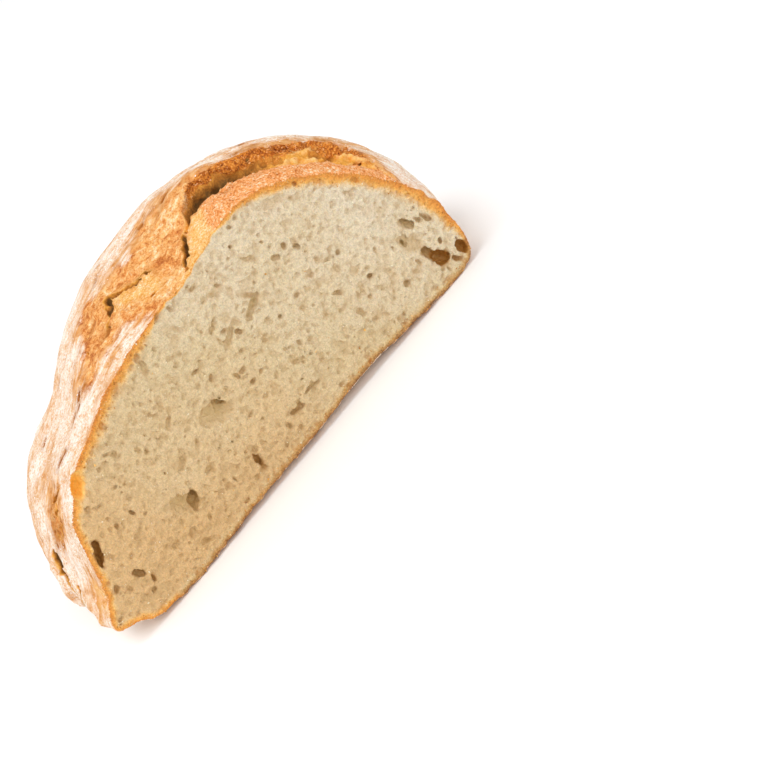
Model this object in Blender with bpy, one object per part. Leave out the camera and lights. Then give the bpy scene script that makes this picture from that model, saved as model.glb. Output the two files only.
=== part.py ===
"""Half of a rustic country loaf, cut straight across and standing on its baked base.

The loaf is one solid. Its cut face looks along -Y, the crust dome runs back along +Y, and the base
lies on Z = 0 under the origin. The burst along the top, the raised crust behind it, the fissures
and the large pores of the cut face are relief in that solid.
"""

import math

import bmesh
import bpy
import numpy as np
from mathutils import Euler, Matrix, Vector, noise

MM = 0.001

# Driving sizes of the half loaf
FACE_WIDTH = 225 * MM
LOAF_DEPTH = 130 * MM
CENTRE_X = 0.52 * FACE_WIDTH
CENTRE_Z = 18 * MM
END_Z = 26 * MM

# Outline of the cut face in millimetres, from the left corner of the base over the top to the right corner
FACE_DOME = (
    (37.5, 0), (18, 2.5), (8, 8.5), (0, 13.5), (3.5, 22.5), (10, 34.5), (16, 52.5), (20, 60),
    (29, 68), (36, 74), (50, 79), (65.5, 85.5), (98, 92), (120, 92.5), (150, 98), (178, 90.5),
    (202.5, 70), (217, 50), (225, 30), (225, 15), (222, 4), (213, 0.4), (205, 0),
)
# Underside of the cut face in millimetres, from left to right: the base is dished a little there
FACE_BASE = ((37.5, 0), (58, 1.5), (85, 2.5), (118, 3), (154, 4.5), (180, 1.8), (205, 0))
DISH_LENGTH = 48 * MM

# How the body swells behind the cut: share of the face's radius, by angle from the left over the top
SWELL_DEPTH = 50 * MM
SWELL = ((-15, -0.03), (11, 0.07), (38, -0.09), (64, 0.03), (90, 0.16), (116, 0.11),
         (142, 0.16), (169, 0.16), (195, 0.16))
SMOOTHING = 24
PLAN_POWER = 2.9
TOP_POWER = 3.1
FLAT_BASE = 85 * MM
UNDERSIDE_POWER = 2.4

# Burst along the top: angle in degrees, distance behind the cut, half width and depth in millimetres
BURST = (
    (104.5, 18, 1, 0), (109, 23.5, 2.5, 9), (112.5, 26, 4, 12), (116.5, 26, 6, 12),
    (123, 24.8, 6.8, 11), (127.5, 23.8, 6.8, 9), (131, 23, 7, 6.5), (134, 22.5, 7.5, 4.2),
    (139, 21.5, 8, 3.4), (145, 20.8, 7.8, 3.8), (151.5, 19, 7, 3.4), (156, 16.5, 5.5, 2.8),
    (163, 11, 3, 1.8), (170, 5.5, 1.5, 0),
)
BURST_ROUNDNESS = 0.7
BURST_RAMPS = (10, 16)
EAR_RISE = 4.0 * MM
EAR_FALL = 16 * MM
LIP_RISE = 2.6 * MM

# Soft lumps of the whole crust: height, and how close together; they start a little behind the cut
LUMPS = ((2.0 * MM, 28), (1.0 * MM, 75))
LUMPS_START = 12 * MM

# Torn and craggy band: height and closeness of its crags, the angles between which it fades in and out,
# its middle before the burst, and how far from the middle it fades out
CRAG_RISE = 1.2 * MM
CRAG_CLOSENESS = 260
TORN_FADE_IN = (48, 70)
TORN_FADE_OUT = (178, 165)
TORN_MIDDLE = 26 * MM
TORN_EDGE = (20 * MM, 8 * MM)

# Fissures: where they open on the crust, in millimetres, with length, width, depth and turn in plan
FISSURES = (
    (131, 12, 97, 13, 3.0, 9, 70), (113, 26, 100, 11, 2.6, 8, 28), (99, 33, 98, 15, 2.8, 8, 52),
    (20, 26, 57, 14, 3.2, 7, -62), (5, 34, 33, 16, 2.2, 6, 80), (62, 58, 92, 8, 2.6, 6, 15),
)

# Large pores of the cut face: across, up, length, width, depth in millimetres, tilt in degrees
PORES = (
    (207.5, 15.5, 14, 5.6, 8, -62), (202.5, 28.5, 11, 6, 2.6, -64), (208, 36, 9, 3.6, 4, -62),
    (92.5, 47.6, 17, 9, 5, -30), (55.5, 29.5, 13, 6.4, 7, -33), (18.5, 41.6, 12.4, 3.8, 6, 63),
    (134, 63, 15, 3.4, 3.5, 24), (118.7, 62, 13, 2.8, 2.6, 32), (66.7, 40.5, 8.4, 3, 3, 30),
    (23.5, 22.5, 6.4, 4, 4, -74), (117, 16.8, 7.4, 3.4, 3.5, -10), (90, 14.9, 7, 3, 4, 88),
    (170, 86, 14, 4.2, 2, -24), (145.6, 78, 7, 3, 2.4, -49), (31, 65.5, 7.5, 4.6, 3.5, 57),
    (83, 79, 6, 4, 2.6, 53),
)

# Rows of points: before the burst, across it as shares of its half width, behind it, and the plain far end
DOME_STEPS = 88
BASE_STEPS = 12
LIP_ROWS = 7
GROOVE_ROWS = (-1, -0.85, -0.35, 0.35, 0.85, 1)
EAR_ROWS = 7
FINE_DEPTH = 48 * MM
COARSE_STEPS = 13

CRUST_COLOUR = (0.72, 0.42, 0.17, 1)
CRUST_ROUGHNESS = 0.85
SHARP_ANGLE = math.radians(40)


def smoothstep(low, high, value):
    """0 on the low side, 1 on the high side, with an even slope between; low may be the larger number."""
    share = min(1.0, max(0.0, (value - low) / (high - low)))
    return share * share * (3 - 2 * share)


def smooth_line(points, steps=8):
    """A Catmull-Rom curve through the points, as an array."""
    knots = np.array([points[0], *points, points[-1]], float)
    line = []
    for p0, p1, p2, p3 in zip(knots, knots[1:], knots[2:], knots[3:]):
        for t in np.linspace(0, 1, steps, endpoint=False):
            line.append(0.5 * (2 * p1 + (p2 - p0) * t + (2 * p0 - 5 * p1 + 4 * p2 - p3) * t**2
                               + (3 * p1 - p0 - 3 * p2 + p3) * t**3))
    return np.array([*line, knots[-1]])


def polar(line):
    """Angles in degrees, from the left over the top, and radii of an outline round the face's centre."""
    across = CENTRE_X - line[:, 0]
    up = line[:, 1] - CENTRE_Z
    return np.degrees(np.arctan2(up, across)) % 360, np.hypot(across, up)


DOME_LINE = smooth_line(FACE_DOME) * MM
DOME_ANGLES, DOME_RADII = polar(DOME_LINE)
DOME_ANGLES = np.where(DOME_ANGLES > 270, DOME_ANGLES - 360, DOME_ANGLES)


def column(table, place, index):
    """One value of a table, read off between its rows at an angle."""
    return np.interp(place, [row[0] for row in table], [row[index] for row in table])


BODY_ANGLES = np.arange(-40.0, 221.0)
BODY_RADII = np.convolve(
    np.pad(np.interp(BODY_ANGLES, DOME_ANGLES, DOME_RADII) * (1 + column(SWELL, BODY_ANGLES, 1)),
           SMOOTHING // 2, "edge"),
    np.hanning(SMOOTHING + 3)[1:-1] / np.hanning(SMOOTHING + 3).sum(), "valid",
)


def dome_radius(angle, depth):
    """Radius of the outline: the cut face's own one, which turns into the rounder body behind it."""
    face = np.interp(angle, DOME_ANGLES, DOME_RADII)
    body = np.interp(angle, BODY_ANGLES, BODY_RADII)
    return float(face + (body - face) * smoothstep(0, SWELL_DEPTH, depth))


def closing(depth, power, start=0.0):
    """How much a section has drawn in at a depth: 1 up to the start and 0 at the far end."""
    share = min(1.0, max(0.0, (depth - start) / (LOAF_DEPTH - start)))
    return (1 - share**power) ** (1 / power)


def place(across, up, depth):
    """The point of a section at a depth, drawn in towards the far end of the loaf."""
    side = closing(depth, PLAN_POWER)
    low = smoothstep(2 * END_Z, 0, up)
    rise = closing(depth, TOP_POWER) * (1 - low) + closing(depth, UNDERSIDE_POWER, FLAT_BASE) * low
    return Vector((CENTRE_X + across * side, depth, END_Z + (up - END_Z) * rise))


def burst_at(angle):
    """Middle, half width and depth of the burst at an angle; its ends carry on beyond the burst."""
    return [float(column(BURST, angle, index)) * MM for index in (1, 2, 3)]


def burst_relief(angle, depth):
    """Height that the burst adds to the crust: a groove, a raised ear behind it and a lip before it."""
    first, last = BURST[0][0], BURST[-1][0]
    if not first < angle < last:
        return 0.0
    middle, half, deep = burst_at(angle)
    held = smoothstep(first, first + BURST_RAMPS[0], angle) * smoothstep(last, last - BURST_RAMPS[1], angle)
    offset = depth - middle
    if abs(offset) < half * 0.999:
        return -deep * (1 - (offset / half) ** 2) ** BURST_ROUNDNESS
    if offset > 0:
        return EAR_RISE * held * math.exp(-(offset - half) / EAR_FALL)
    return LIP_RISE * held * math.sin(math.pi * min(1.0, depth / (middle - half)))


def torn(angle, depth):
    """How torn and craggy the crust is at a place, from 0 to 1."""
    middle = burst_at(angle)[0] if angle > BURST[0][0] else TORN_MIDDLE
    along = smoothstep(*TORN_FADE_IN, angle) * smoothstep(*TORN_FADE_OUT, angle)
    return along * smoothstep(*TORN_EDGE, abs(depth - middle))


def crust_relief(angle, depth, point):
    """Everything that stands out from the plain dome: soft lumps, crags of the torn band and the burst."""
    lumps = sum(height * noise.noise(point * closeness) for height, closeness in LUMPS)
    crags = CRAG_RISE * noise.noise(point * CRAG_CLOSENESS) * torn(angle, depth)
    return (lumps + crags) * smoothstep(0, LUMPS_START, depth) + burst_relief(angle, depth)


def dome_angles():
    """Angles that space the points evenly along the face's outline."""
    steps = np.hypot(*np.diff(DOME_LINE, axis=0).T)
    along = np.concatenate([[0], np.cumsum(steps)])
    return np.interp(np.linspace(0, along[-1], DOME_STEPS), along, DOME_ANGLES)


def row_depths(angle):
    """Depths of the rows at an angle: they follow both edges of the burst, then close up at the far end."""
    middle, half, _ = burst_at(angle)
    lip = np.linspace(0, middle - half, LIP_ROWS, endpoint=False)
    groove = middle + half * np.array(GROOVE_ROWS)
    ear = np.linspace(middle + half, FINE_DEPTH, EAR_ROWS + 1)[1:]
    turns = np.linspace(0, math.pi / 2, COARSE_STEPS + 1)[1:-1]
    return [*lip, *groove, *ear, *(FINE_DEPTH + (LOAF_DEPTH - FINE_DEPTH) * np.sin(turns))]


def dome_column(angle):
    """Points from the cut to the far end of the loaf at one angle round the dome."""
    points = []
    direction = Vector((-math.cos(math.radians(angle)), 0, math.sin(math.radians(angle))))
    for depth in row_depths(angle):
        radius = dome_radius(angle, depth)
        plain = place(direction.x * radius, CENTRE_Z + direction.z * radius, depth)
        radius += crust_relief(angle, depth, plain)
        points.append(place(direction.x * radius, max(0.0, CENTRE_Z + direction.z * radius), depth))
    return points


def base_column(share, left, right):
    """Points from the cut to the far end under the loaf, a share of the way from left to right."""
    base = smooth_line(FACE_BASE) * MM
    up = float(np.interp(base[0, 0] + (base[-1, 0] - base[0, 0]) * share, base[:, 0], base[:, 1]))
    points = []
    for start, end in zip(left, right):
        depth = start.y + (end.y - start.y) * share
        dish = up * (1 - smoothstep(0, DISH_LENGTH, depth))
        points.append(Vector((start.x + (end.x - start.x) * share, depth, place(0, dish, depth).z)))
    return points


def loaf_columns():
    """All columns of points round the loaf: over the dome from left to right, then back along the base."""
    dome = [dome_column(angle) for angle in dome_angles()]
    shares = [1 - step / BASE_STEPS for step in range(1, BASE_STEPS)]
    return dome + [base_column(share, dome[0], dome[-1]) for share in shares]


def loaf_mesh():
    """The closed crust with its flat cut face, before the pores and fissures are cut."""
    shape = bmesh.new()
    columns = [[shape.verts.new(point) for point in column_points] for column_points in loaf_columns()]
    pole = shape.verts.new((CENTRE_X, LOAF_DEPTH, END_Z))
    for here, beside in zip(columns, columns[1:] + columns[:1]):
        for row in range(len(here) - 1):
            shape.faces.new((here[row], beside[row], beside[row + 1], here[row + 1]))
        shape.faces.new((here[-1], beside[-1], pole))
    shape.faces.new([here[0] for here in reversed(columns)])
    bmesh.ops.recalc_face_normals(shape, faces=shape.faces)
    mesh = bpy.data.meshes.new("half_loaf")
    shape.to_mesh(mesh)
    shape.free()
    return mesh


def centring(mesh):
    """The shift that puts the origin under the middle of the loaf, on the plane that it stands on."""
    corners = np.array([vertex.co for vertex in mesh.vertices])
    middle = (corners.min(axis=0) + corners.max(axis=0)) / 2
    return Matrix.Translation((-middle[0], -middle[1], -corners[:, 2].min()))


def crust_material():
    """Matte golden crust."""
    material = bpy.data.materials.new("baked_crust")
    material.use_nodes = True
    shader = material.node_tree.nodes["Principled BSDF"]
    shader.inputs["Base Color"].default_value = CRUST_COLOUR
    shader.inputs["Roughness"].default_value = CRUST_ROUGHNESS
    shader.inputs["Metallic"].default_value = 0
    return material


def hollow(collection, middle, lengths, turn, shift):
    """An ellipsoid that cuts one pore or fissure: its middle, three full lengths and turn in radians."""
    shape = bmesh.new()
    bmesh.ops.create_uvsphere(shape, u_segments=12, v_segments=8, radius=0.5)
    bmesh.ops.scale(shape, vec=Vector(lengths) * MM, verts=shape.verts)
    bmesh.ops.transform(shape, matrix=Euler(turn).to_matrix().to_4x4(), verts=shape.verts)
    bmesh.ops.transform(shape, matrix=shift @ Matrix.Translation(Vector(middle) * MM), verts=shape.verts)
    mesh = bpy.data.meshes.new("hollow")
    shape.to_mesh(mesh)
    shape.free()
    cutter = bpy.data.objects.new("hollow", mesh)
    cutter.hide_render = True
    cutter.display_type = "WIRE"
    collection.objects.link(cutter)


def cut_hollows(loaf, shift):
    """Cuts the pores into the face and the fissures into the crust, then clears the cutters away."""
    cutters = bpy.data.collections.new("cutters")
    bpy.context.scene.collection.children.link(cutters)
    for across, up, length, width, deep, tilt in PORES:
        hollow(cutters, (across, 0, up), (length, 2 * deep, width), (0, -math.radians(tilt), 0), shift)
    for across, depth, up, length, width, deep, turn in FISSURES:
        hollow(cutters, (across, depth, up), (length, width, 2 * deep), (0, 0, math.radians(turn)), shift)
    cut = loaf.modifiers.new("hollows", "BOOLEAN")
    cut.operation = "DIFFERENCE"
    cut.operand_type = "COLLECTION"
    cut.collection = cutters
    cut.solver = "EXACT"
    bpy.context.view_layer.update()
    graph = bpy.context.evaluated_depsgraph_get()
    cut_mesh = bpy.data.meshes.new_from_object(loaf.evaluated_get(graph))
    loaf.modifiers.clear()
    loaf.data = cut_mesh
    for cutter in list(cutters.objects):
        bpy.data.objects.remove(cutter)
    bpy.data.collections.remove(cutters)


def main():
    for old in list(bpy.data.objects):
        bpy.data.objects.remove(old)
    mesh = loaf_mesh()
    shift = centring(mesh)
    mesh.transform(shift)
    loaf = bpy.data.objects.new("half_loaf", mesh)
    loaf.data.materials.append(crust_material())
    bpy.context.scene.collection.objects.link(loaf)
    cut_hollows(loaf, shift)
    loaf.data.shade_smooth()
    loaf.data.set_sharp_from_angle(angle=SHARP_ANGLE)


main()
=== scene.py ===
# %% [markdown]
# # Half of a country loaf, cut across
#
# A country loaf is a round of wheat dough, dusted with flour and baked on a hot floor. In the oven
# it bursts where its skin is weakest, and the burst bakes into a rolled lip, a dark crack and a
# raised ear. This one was then cut through the middle, so the crumb shows too: a pale sponge of
# pores inside a thin brown crust.
#
# The solid part gives the size and the form. This lesson dresses it. It builds a fine skin of the
# same form from a distance field, opens the pores and the burst in it, bakes its colours from real
# distances in millimetres, and sprinkles crumbs and flour on it with Geometry Nodes.

# %% Load the frame
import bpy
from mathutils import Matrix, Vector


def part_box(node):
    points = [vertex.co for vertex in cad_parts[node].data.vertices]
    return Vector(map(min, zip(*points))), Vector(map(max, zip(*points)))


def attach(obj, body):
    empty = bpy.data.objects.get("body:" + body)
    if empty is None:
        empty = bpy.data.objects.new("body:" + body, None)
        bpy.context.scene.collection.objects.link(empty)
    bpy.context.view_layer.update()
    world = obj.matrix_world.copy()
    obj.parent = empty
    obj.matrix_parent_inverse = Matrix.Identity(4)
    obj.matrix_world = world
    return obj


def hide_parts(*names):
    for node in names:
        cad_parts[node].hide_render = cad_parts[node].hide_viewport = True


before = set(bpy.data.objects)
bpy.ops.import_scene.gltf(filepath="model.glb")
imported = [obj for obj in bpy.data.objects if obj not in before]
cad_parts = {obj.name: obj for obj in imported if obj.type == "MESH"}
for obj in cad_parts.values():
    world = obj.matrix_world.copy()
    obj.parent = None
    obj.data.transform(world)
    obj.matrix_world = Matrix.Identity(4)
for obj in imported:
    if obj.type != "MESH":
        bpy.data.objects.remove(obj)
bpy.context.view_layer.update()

import math

import bmesh
import bpy
import numpy as np
import openvdb
from mathutils import Matrix, Vector, noise

# %% [markdown]
# ## Working in millimetres
#
# Bread is full of detail between a tenth of a millimetre and a few centimetres, so the arrays below
# hold millimetres. X runs along the cut, Y goes from the cut into the loaf, and Z is up from the
# base. Only the finished meshes are moved to the frame and scaled to metres.

# %% Small helpers
MM = 0.001


def linear(code):
    """A colour written as sRGB hex, as the linear values that shaders take."""
    parts = [int(code[i:i + 2], 16) / 255 for i in (1, 3, 5)]
    return (*[p / 12.92 if p <= 0.04045 else ((p + 0.055) / 1.055) ** 2.4 for p in parts], 1.0)


def ease(low, high, value):
    """0 on the low side, 1 on the high side, with an even slope between; low may be the larger."""
    share = np.clip((value - low) / (high - low), 0, 1)
    return share * share * (3 - 2 * share)


def smooth_line(points, steps=8):
    """A Catmull-Rom curve through the points."""
    knots = np.array([points[0], *points, points[-1]], float)
    line = []
    for p0, p1, p2, p3 in zip(knots, knots[1:], knots[2:], knots[3:]):
        for t in np.linspace(0, 1, steps, endpoint=False):
            line.append(0.5 * (2 * p1 + (p2 - p0) * t + (2 * p0 - 5 * p1 + 4 * p2 - p3) * t**2
                               + (3 * p1 - p0 - 3 * p2 + p3) * t**3))
    return np.array([*line, knots[-1]])


def read_off(table, place, column):
    """One column of a table, read off between its rows."""
    return np.interp(place, [row[0] for row in table], [row[column] for row in table])


# %% [markdown]
# ## The form of the half loaf
#
# The dome is a stack of outlines. At the cut the outline is the one that the knife shows; behind it
# the loaf swells into a rounder body, which draws in to a blunt end. Polar radii round a point low
# in the loaf describe every outline, so one angle and one depth name any place on the crust.
#
# A sculpted mesh could do this too, but a rule keeps the skin on the solid of the frame, and the
# same angle and depth will later say where flour, burst and cracks are.

# %% Outline of the cut face and how the body swells
DEPTH = 130
CENTRE_X = 117
CENTRE_Z = 18
END_Z = 26
FACE_DOME = (
    (37.5, 0), (18, 2.5), (8, 8.5), (0, 13.5), (3.5, 22.5), (10, 34.5), (16, 52.5), (20, 60),
    (29, 68), (36, 74), (50, 79), (65.5, 85.5), (98, 92), (120, 92.5), (150, 98), (178, 90.5),
    (202.5, 70), (217, 50), (225, 30), (225, 15), (222, 4), (213, 0.4), (205, 0),
)
FACE_BASE = ((37.5, 0), (58, 1.5), (85, 2.5), (118, 3), (154, 4.5), (180, 1.8), (205, 0))
DISH_LENGTH = 48
SWELL_DEPTH = 50
SWELL = ((-15, -0.03), (11, 0.07), (38, -0.09), (64, 0.03), (90, 0.16), (116, 0.11),
         (142, 0.16), (169, 0.16), (195, 0.16))
SMOOTHING = 24
PLAN_POWER = 2.9
TOP_POWER = 3.1
FLAT_BASE = 85
UNDERSIDE_POWER = 2.4

dome_line = smooth_line(FACE_DOME)
DOME_RADII = np.hypot(dome_line[:, 1] - CENTRE_Z, CENTRE_X - dome_line[:, 0])
DOME_ANGLES = np.degrees(np.arctan2(dome_line[:, 1] - CENTRE_Z, CENTRE_X - dome_line[:, 0]))
DOME_ANGLES = np.where(DOME_ANGLES < -90, DOME_ANGLES + 360, DOME_ANGLES)
DOME_ALONG = np.concatenate([[0], np.cumsum(np.hypot(*np.diff(dome_line, axis=0).T))])
BODY_ANGLES = np.arange(-40.0, 221.0)
WINDOW = np.hanning(SMOOTHING + 3)[1:-1]
BODY_RADII = np.convolve(
    np.pad(np.interp(BODY_ANGLES, DOME_ANGLES, DOME_RADII) * (1 + read_off(SWELL, BODY_ANGLES, 1)),
           SMOOTHING // 2, "edge"), WINDOW / WINDOW.sum(), "valid")
print("crust round the cut face:", round(DOME_ALONG[-1]), "mm from corner to corner over the top")

# %% [markdown]
# ## The burst
#
# The skin tore open along the top. In front of the tear it rolled into a lip, and behind it the
# crust was lifted into an ear. The table follows the tear along the outline: how far behind the cut
# its front and its rear edge run, and how deep it is, all in millimetres.

# %% Burst table and the soft relief round it
BURST = (
    (218, 17, 19, 0), (222, 18.5, 22.5, 5), (226, 21, 26, 9), (231, 22, 30, 12), (237, 20, 32, 12),
    (248, 18, 31.5, 11), (256, 17, 30.5, 9), (262, 16, 30, 6.5), (268, 15, 30, 4.2),
    (276, 13.5, 29.5, 3.4), (286, 13, 28.5, 3.8), (297, 12, 26, 3.4), (305, 11, 22, 2.8), (318, 8, 14, 1.8),
    (332, 4, 7, 0),
)
EAR_RISE = 4.0
EAR_FALL = 16
LIP_RISE = 2.8


def burst_swelling(angle, depth):
    """Height of the rolled lip and of the raised ear, with a straight ramp over the tear itself."""
    along = np.interp(angle, DOME_ANGLES, DOME_ALONG)
    first, last = BURST[0][0], BURST[-1][0]
    front, rear = read_off(BURST, along, 1), read_off(BURST, along, 2)
    held = ease(first - 4, first + 16, along) * ease(last, last - 36, along)
    lip = LIP_RISE * np.sin(np.pi * np.clip(depth / front, 0, 1))
    ear = EAR_RISE * np.exp(-np.clip(depth - rear, 0, None) / EAR_FALL)
    across = ease(front, rear, depth)
    return held * (lip * (1 - across) + ear * across)


print("burst:", BURST[-1][0] - BURST[0][0], "mm long and up to", max(row[3] for row in BURST), "mm deep")

# %% [markdown]
# ## From outline to distance field
#
# Cracks, pores and crags cut into each other in ways that a grid of faces can't follow. A distance
# field can: it stores, at every point of a fine 3-D grid, how far it is to the crust. Roughness is
# then a small number added to the distance, and a pore is a smaller distance taken away.
#
# So the outlines are first joined to one closed surface, which is turned into such a field. The
# surface starts a little before the cut, so that the field knows only the crust: the cut itself
# comes later, as a plane.

# %% Closed surface of the uncut dome
AHEAD = 14
ROWS = np.concatenate([np.arange(-AHEAD, 50, 1.5),
                       50 + (DEPTH - 50) * np.sin(np.linspace(0, math.pi / 2, 44)[:-1])])
COLUMNS = 400
BASE_COLUMNS = 70
# height in millimetres and number to a metre
LUMPS = ((2.0, 28), (1.0, 75))


def closing(depth, power, start=0.0):
    """How much a section has drawn in at a depth: 1 up to the start and 0 at the far end."""
    share = np.clip((depth - start) / (DEPTH - start), 0, 1)
    return (1 - share**power) ** (1 / power)


def place(across, up, depth):
    """The point of a section at a depth, drawn in towards the far end of the loaf."""
    low = ease(2 * END_Z, 0, up)
    rise = closing(depth, TOP_POWER) * (1 - low) + closing(depth, UNDERSIDE_POWER, FLAT_BASE) * low
    return np.stack([CENTRE_X + across * closing(depth, PLAN_POWER), depth + 0 * up,
                     END_Z + (up - END_Z) * rise], -1)


def lumps(points):
    """The soft lumps of a hand-shaped loaf, from noise that is a few centimetres wide."""
    flat = points.reshape(-1, 3) * MM
    found = [sum(rise * noise.noise(Vector(p) * closeness) for rise, closeness in LUMPS) for p in flat]
    return np.array(found).reshape(points.shape[:-1])


def dome_surface():
    """Points of the dome, by column and row, and of the base under it."""
    even = np.linspace(0, DOME_ALONG[-1], COLUMNS)
    angle, depth = np.meshgrid(np.interp(even, DOME_ALONG, DOME_ANGLES), ROWS, indexing="ij")
    turn = np.radians(angle)
    face = np.interp(angle, DOME_ANGLES, DOME_RADII)
    body = np.interp(angle, BODY_ANGLES, BODY_RADII)
    radius = face + (body - face) * ease(0, SWELL_DEPTH, depth)
    plain = place(-np.cos(turn) * radius, CENTRE_Z + np.sin(turn) * radius, depth)
    radius = radius + lumps(plain) * ease(0, 12, depth) + burst_swelling(angle, depth)
    dome = place(-np.cos(turn) * radius, np.maximum(0, CENTRE_Z + np.sin(turn) * radius), depth)
    base_line = smooth_line(FACE_BASE)
    share = np.linspace(1, 0, BASE_COLUMNS + 2)[1:-1, None, None]
    x_face = base_line[0, 0] + (base_line[-1, 0] - base_line[0, 0]) * share[..., 0]
    dish = np.interp(x_face, base_line[:, 0], base_line[:, 1]) * ease(DISH_LENGTH, 0, ROWS)
    base = dome[0] * (1 - share) + dome[-1] * share
    base[..., 2] = place(0 * dish, dish, ROWS + 0 * dish)[..., 2]
    return np.concatenate([dome, base])


def closed_triangles(columns, rows):
    """Triangles of a ring of columns, with one middle point at each end."""
    here, row = np.meshgrid(np.arange(columns), np.arange(rows - 1), indexing="ij")
    beside = (here + 1) % columns
    a, b = here * rows + row, beside * rows + row
    sides = np.concatenate([np.stack([a, b, b + 1], -1), np.stack([a, b + 1, a + 1], -1)]).reshape(-1, 3)
    first = np.arange(columns) * rows
    following = (np.arange(columns) + 1) % columns * rows
    front, back = columns * rows, columns * rows + 1
    caps = [np.stack([following, first, 0 * first + front], -1),
            np.stack([first + rows - 1, following + rows - 1, 0 * first + back], -1)]
    return np.concatenate([sides, *caps]).astype(np.uint32)


surface = dome_surface()
surface_points = np.concatenate([surface.reshape(-1, 3), [(CENTRE_X, -AHEAD, 45), (CENTRE_X, DEPTH, END_Z)]])
surface_triangles = closed_triangles(*surface.shape[:2])
own_low, own_high = surface_points[surface_points[:, 1] >= 0].min(0), surface_points.max(0)
frame_low, frame_high = (np.array(corner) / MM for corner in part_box("half_loaf"))
TO_FRAME = np.array([(frame_low[0] + frame_high[0] - own_low[0] - own_high[0]) / 2, frame_low[1],
                     frame_low[2]])
print("surface of the dome:", len(surface_triangles), "triangles,", np.round(own_high - own_low, 1), "mm")

# %% Distance to the crust on a fine grid
GRID_STEP = 0.64
BAND = 15
GRID_LOW = np.array([own_low[0] - 5, -3, -4])
GRID_HIGH = np.array([own_high[0] + 5, DEPTH + 4, own_high[2] + 5])
grid_shape = tuple(np.ceil((GRID_HIGH - GRID_LOW) / GRID_STEP).astype(int) + 1)
grid_scale = openvdb.createLinearTransform(voxelSize=GRID_STEP)
level_set = openvdb.FloatGrid.createLevelSetFromPolygons(
    (surface_points - GRID_LOW).astype(np.float32), triangles=surface_triangles, transform=grid_scale,
    exBandWidth=5 / GRID_STEP, inBandWidth=BAND / GRID_STEP)
crust_distance = np.empty(grid_shape, np.float32)
level_set.copyToArray(crust_distance)
print("distance grid:", grid_shape, "points,", GRID_STEP, "mm apart")


def grid_places(picked):
    """The places, in millimetres, of grid points that are given by a mask or by flat indices."""
    indices = np.nonzero(picked) if picked.dtype == bool else np.unravel_index(picked, grid_shape)
    return np.stack(indices, -1).astype(np.float32) * np.float32(GRID_STEP) + GRID_LOW.astype(np.float32)


# %% [markdown]
# ## Noise, measured in millimetres
#
# Dough, flour and crumb are random, but each has its own size. The noise here is a lattice of
# seeded random values with smooth steps between them, and its size is the width of one step in
# millimetres. Each layer is turned a little, so that the lattice never shows.

# %% Value noise
LATTICE = np.random.default_rng(7).uniform(-1, 1, (64, 64, 64)).astype(np.float32)
LATTICE_TURN = np.array([[0.80, 0.52, -0.30], [-0.60, 0.70, -0.39], [0.01, 0.49, 0.87]], np.float32)


def soft_noise(places, size, seed):
    """Random values from -1 to 1 that change over about one size, which may differ by axis."""
    cell = (places / np.asarray(size, np.float32)) @ LATTICE_TURN.T + np.float32(seed * 7.31)
    whole = np.floor(cell).astype(np.int32)
    part = cell - whole
    part = part * part * (3 - 2 * part)
    low, high = whole & 63, (whole + 1) & 63
    total = np.zeros(len(places), np.float32)
    for corner in range(8):
        picks = [high[:, i] if corner >> i & 1 else low[:, i] for i in range(3)]
        shares = [part[:, i] if corner >> i & 1 else 1 - part[:, i] for i in range(3)]
        total += LATTICE[picks[0], picks[1], picks[2]] * shares[0] * shares[1] * shares[2]
    return total


print("noise lattice:", LATTICE.shape, "values from", LATTICE.min(), "to", LATTICE.max())

# %% [markdown]
# ## A map of the crust
#
# The oven colours a loaf by place. Flour stays where the skin only stretched. Where it tore, the
# bare dough baked tan and gold, and the lip and the ear stood nearest to the heat and turned orange
# to brown. Each zone is an outline on a map of the crust. One way of the map runs along the outline
# of the cut, from the left corner over the top, and the other runs back into the loaf.
#
# A painted picture could hold the zones too, but an outline stays sharp at any size, and noise can
# fray it: dough never tears along a smooth line.

# %% Zone outlines on the map
MAP_STEP = 0.5
MAP_AHEAD = 6
TORN_ZONES = (
    ((146, 16), (144, 22), (150, 27.5), (159, 39.5), (164, 49), (171, 56), (177, 58), (181, 50),
     (184, 45), (192, 46), (199, 39), (209, 46), (214, 57), (219, 48), (230, 40), (238, 32.5), (256, 31),
     (268, 31), (280, 30), (297, 26.5), (310, 19), (322, 12), (335, 7), (348, 3), (348, -5), (183, -5),
     (180, 9), (172, 18), (162, 15)),
    ((98, 20), (92, 32), (82, 31), (76, 24), (84, 18)),
    ((50, -5), (54, 9), (60, 7), (62, -5)),
)
LIP_ZONES = (
    ((232, 23), (228, 14), (225, 6), (223, -5), (330, -5), (322, 5), (305, 10), (296, 12), (280, 13),
     (268, 15), (256, 17.5), (247, 19), (238, 21)),
)
PALE_ZONES = (
    ((54, -5), (55.5, 7.5), (60, 8), (61, -5)), ((48, -5), (49.5, 7), (52.5, 6.5), (53, -5)),
    ((186, -5), (223, -5), (228, 8), (231, 19), (225, 20), (219, 18), (212, 10), (206, 4)),
    ((183, 34), (189, 27), (196, 23), (198, 14), (192, 9), (187, 15), (180, 28)),
)


def crust_angle(places):
    """Angle round the dome, in degrees from the left over the top."""
    return np.degrees(np.arctan2(places[:, 2] - CENTRE_Z, CENTRE_X - places[:, 0]))


def crust_along(places):
    """Millimetres along the outline of the cut, from the left corner over the top."""
    return np.interp(crust_angle(places), DOME_ANGLES, DOME_ALONG).astype(np.float32)


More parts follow.
